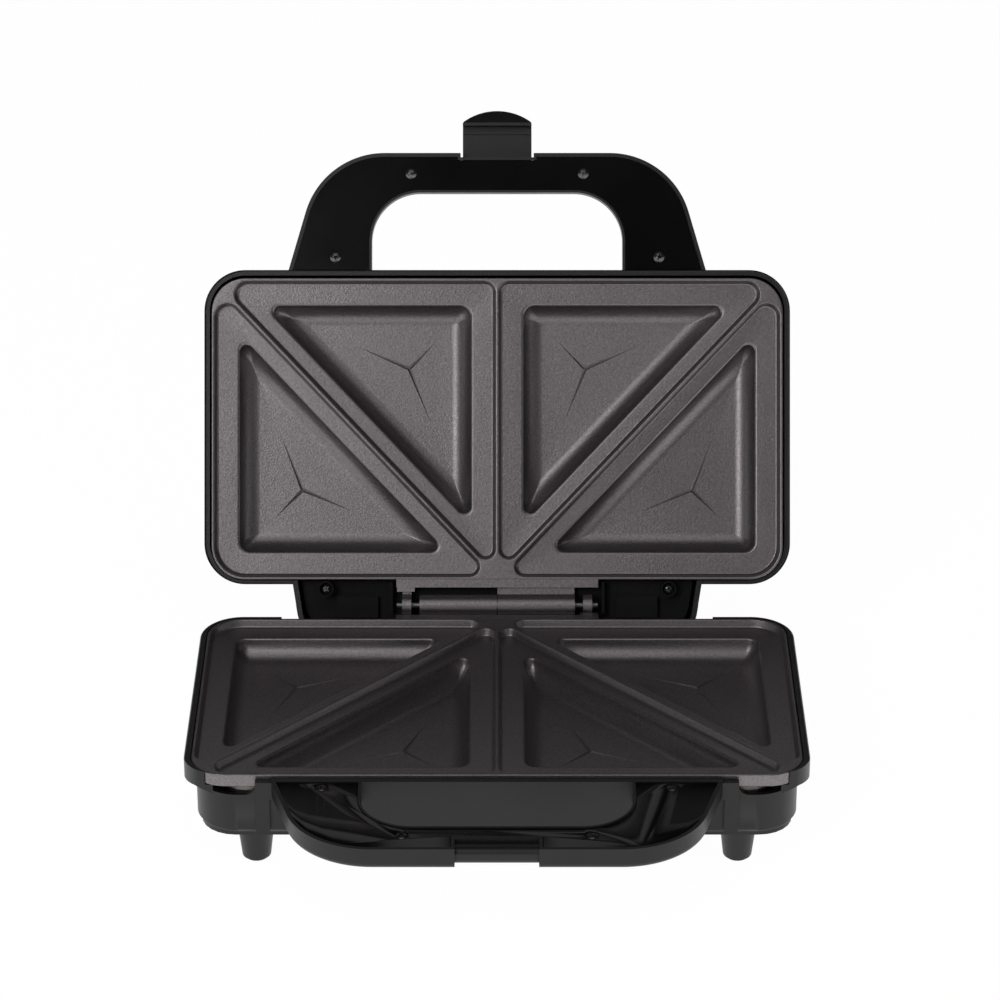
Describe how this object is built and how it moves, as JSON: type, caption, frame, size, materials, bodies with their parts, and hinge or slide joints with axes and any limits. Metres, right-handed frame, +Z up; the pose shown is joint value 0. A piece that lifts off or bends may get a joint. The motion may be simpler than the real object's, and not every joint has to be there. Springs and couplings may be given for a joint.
{
  "type": "sandwich toaster",
  "caption": "Countertop sandwich toaster with a hinged lid, cast deep-fill triangular pocket plates, loop handles and a pivoting latch, shown open.",
  "frame": {"origin": "on the table, midway between the part's left and right sides and midway between its front and back ends with the lid open", "axes": "+Z up from the table, +X to the right of someone facing the handles, -Y towards that person"},
  "size_m": [0.2704, 0.3262, 0.2462],
  "materials": {
    "black_plastic": "fine matt moulded black phenolic plastic",
    "foot_rubber": "matt black rubber",
    "screw_steel": "zinc plated screw steel",
    "plate_coating": "cast aluminium with a dark grey speckled non-stick coating, satin",
    "element_steel": "drawn steel sheath, dull",
    "shield_steel": "galvanised sheet steel",
    "shield_aluminium": "bright aluminium sheet",
    "ceramic_white": "off-white ceramic and nylon",
    "gloss_cover": "polished near-black plastic",
    "dark_screw": "blackened screw steel",
    "pin_steel": "plain turned steel",
    "red_lens": "clear red moulding",
    "green_lens": "clear green moulding",
    "lamp_glass": "small neon lamps"
  },
  "bodies": {
    "base": {"lower_housing": "black_plastic", "base_cover": "black_plastic", "feet": "black_plastic", "foot_pads": "foot_rubber", "base_screws": "screw_steel", "lower_plate": "plate_coating", "lower_plate_screws": "screw_steel", "lower_element": "element_steel", "lower_heat_shield": "shield_steel", "thermostat": "element_steel", "thermal_fuse": "ceramic_white", "terminal_block": "ceramic_white", "cord_gland": "foot_rubber", "lower_handle_cover": "gloss_cover", "lower_handle_screws": "dark_screw", "hinge_pin": "pin_steel"},
    "lid": {"upper_housing": "black_plastic", "lid_panel": "gloss_cover", "upper_plate": "plate_coating", "upper_plate_screws": "screw_steel", "upper_element": "element_steel", "upper_heat_shield": "shield_aluminium", "upper_handle_cover": "gloss_cover", "upper_handle_screws": "dark_screw", "hinge_cover": "black_plastic", "hinge_cover_screws": "dark_screw", "latch_pin": "pin_steel", "power_lens": "red_lens", "ready_lens": "green_lens", "indicator_lamps": "lamp_glass"},
    "latch": {"latch": "black_plastic"}
  },
  "joints": [
    {"name": "lid_hinge", "type": "hinge", "parent": "base", "child": "lid", "pos_m": [0, 0.04576, 0.0476], "axis": [1, 0, 0], "range_deg": [0, 117]},
    {"name": "latch_pivot", "type": "hinge", "parent": "lid", "child": "latch", "pos_m": [0, 0.14448, 0.22592], "axis": [1, 0, 0], "range_deg": [0, 90]}
  ]
}
